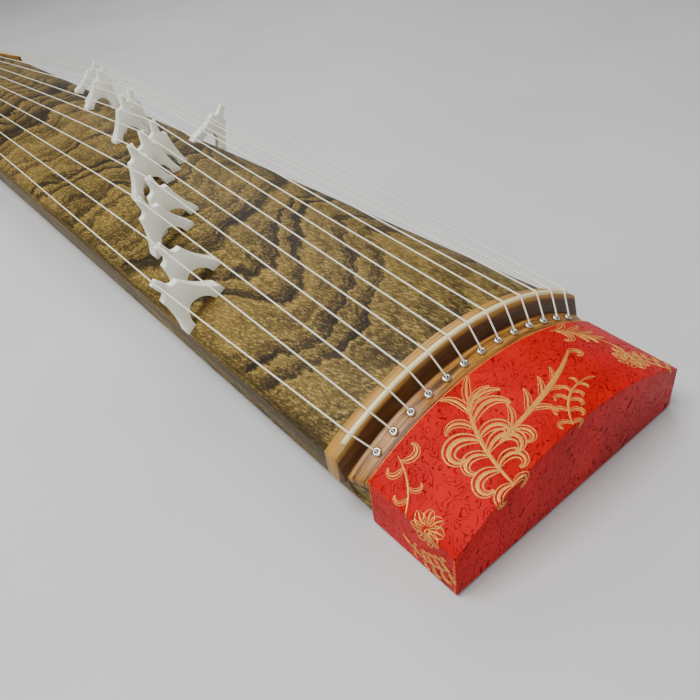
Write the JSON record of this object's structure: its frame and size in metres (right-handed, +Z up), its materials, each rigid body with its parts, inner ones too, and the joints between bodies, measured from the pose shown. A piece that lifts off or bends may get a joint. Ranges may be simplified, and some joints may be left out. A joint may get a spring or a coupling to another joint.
{
  "type": "long zither",
  "caption": "Long arched wooden zither with movable white bridges, cord strings, head and tail saddles, and a slip-on brocade cap over the head end.",
  "frame": {"origin": "centre of the instrument's footprint, on the plane its feet stand on", "axes": "+X from the tail to the head with the brocade cap, -Y towards the player's side where the highest string is, +Z up"},
  "size_m": [1.82, 0.2816, 0.1495],
  "materials": {
    "paulownia": "scorched and waxed, satin",
    "rosewood": "oiled, satin",
    "ivory_strip": "polished",
    "eyelet_metal": "polished",
    "bridge_white": "satin",
    "string_cord": "twisted cord",
    "cap_brocade": "satin weave with metallic thread",
    "cap_board": "matt",
    "cap_lining": "matt"
  },
  "bodies": {
    "body": {"back_board": "paulownia", "brace_head": "paulownia", "brace_middle": "paulownia", "brace_tail": "paulownia", "head_block": "paulownia", "head_eyelets": "eyelet_metal", "head_feet": "rosewood", "head_saddle": "rosewood", "head_saddle_strip": "ivory_strip", "soundboard_shell": "paulownia", "string_01": "string_cord", "string_02": "string_cord", "string_03": "string_cord", "string_04": "string_cord", "string_05": "string_cord", "string_06": "string_cord", "string_07": "string_cord", "string_08": "string_cord", "string_09": "string_cord", "string_10": "string_cord", "string_11": "string_cord", "string_12": "string_cord", "string_13": "string_cord", "string_plate": "rosewood", "tail_block": "paulownia", "tail_eyelets": "eyelet_metal", "tail_feet": "rosewood", "tail_leaf_panel": "rosewood", "tail_saddle": "rosewood", "tail_saddle_strip": "ivory_strip"},
    "cap": {"cap_brocade": "cap_brocade", "cap_core": "cap_board", "cap_lining": "cap_lining"},
    "bridge_01": {"bridge_01": "bridge_white"},
    "bridge_02": {"bridge_02": "bridge_white"},
    "bridge_03": {"bridge_03": "bridge_white"},
    "bridge_04": {"bridge_04": "bridge_white"},
    "bridge_05": {"bridge_05": "bridge_white"},
    "bridge_06": {"bridge_06": "bridge_white"},
    "bridge_07": {"bridge_07": "bridge_white"},
    "bridge_08": {"bridge_08": "bridge_white"},
    "bridge_09": {"bridge_09": "bridge_white"},
    "bridge_10": {"bridge_10": "bridge_white"},
    "bridge_11": {"bridge_11": "bridge_white"},
    "bridge_12": {"bridge_12": "bridge_white"},
    "bridge_13": {"bridge_13": "bridge_white"}
  },
  "joints": [
    {"name": "bridge_01_slide", "type": "slide", "parent": "body", "child": "bridge_01", "axis": [1, 0, 0], "range_m": [-0.06, 0.06], "deforming": ["string_01"]},
    {"name": "bridge_02_slide", "type": "slide", "parent": "body", "child": "bridge_02", "axis": [1, 0, 0], "range_m": [-0.06, 0.0425], "deforming": ["string_02"]},
    {"name": "bridge_03_slide", "type": "slide", "parent": "body", "child": "bridge_03", "axis": [1, 0, 0], "range_m": [-0.0425, 0.015], "deforming": ["string_03"]},
    {"name": "bridge_04_slide", "type": "slide", "parent": "body", "child": "bridge_04", "axis": [1, 0, 0], "range_m": [-0.015, 0.06], "deforming": ["string_04"]},
    {"name": "bridge_05_slide", "type": "slide", "parent": "body", "child": "bridge_05", "axis": [1, 0, 0], "range_m": [-0.06, 0.0075], "deforming": ["string_05"]},
    {"name": "bridge_06_slide", "type": "slide", "parent": "body", "child": "bridge_06", "axis": [1, 0, 0], "range_m": [-0.0075, 0.06], "deforming": ["string_06"]},
    {"name": "bridge_07_slide", "type": "slide", "parent": "body", "child": "bridge_07", "axis": [1, 0, 0], "range_m": [-0.06, 0.002], "deforming": ["string_07"]},
    {"name": "bridge_08_slide", "type": "slide", "parent": "body", "child": "bridge_08", "axis": [1, 0, 0], "range_m": [-0.002, 0.0022], "deforming": ["string_08"]},
    {"name": "bridge_09_slide", "type": "slide", "parent": "body", "child": "bridge_09", "axis": [1, 0, 0], "range_m": [-0.0022, 0.0368], "deforming": ["string_09"]},
    {"name": "bridge_10_slide", "type": "slide", "parent": "body", "child": "bridge_10", "axis": [1, 0, 0], "range_m": [-0.0368, 0.003], "deforming": ["string_10"]},
    {"name": "bridge_11_slide", "type": "slide", "parent": "body", "child": "bridge_11", "axis": [1, 0, 0], "range_m": [-0.003, 0.033], "deforming": ["string_11"]},
    {"name": "bridge_12_slide", "type": "slide", "parent": "body", "child": "bridge_12", "axis": [1, 0, 0], "range_m": [-0.033, 0.0075], "deforming": ["string_12"]},
    {"name": "bridge_13_slide", "type": "slide", "parent": "body", "child": "bridge_13", "axis": [1, 0, 0], "range_m": [-0.0075, 0.06], "deforming": ["string_13"]},
    {"name": "cap_slide", "type": "slide", "parent": "body", "child": "cap", "axis": [1, 0, 0], "range_m": [0, 0.1]}
  ]
}
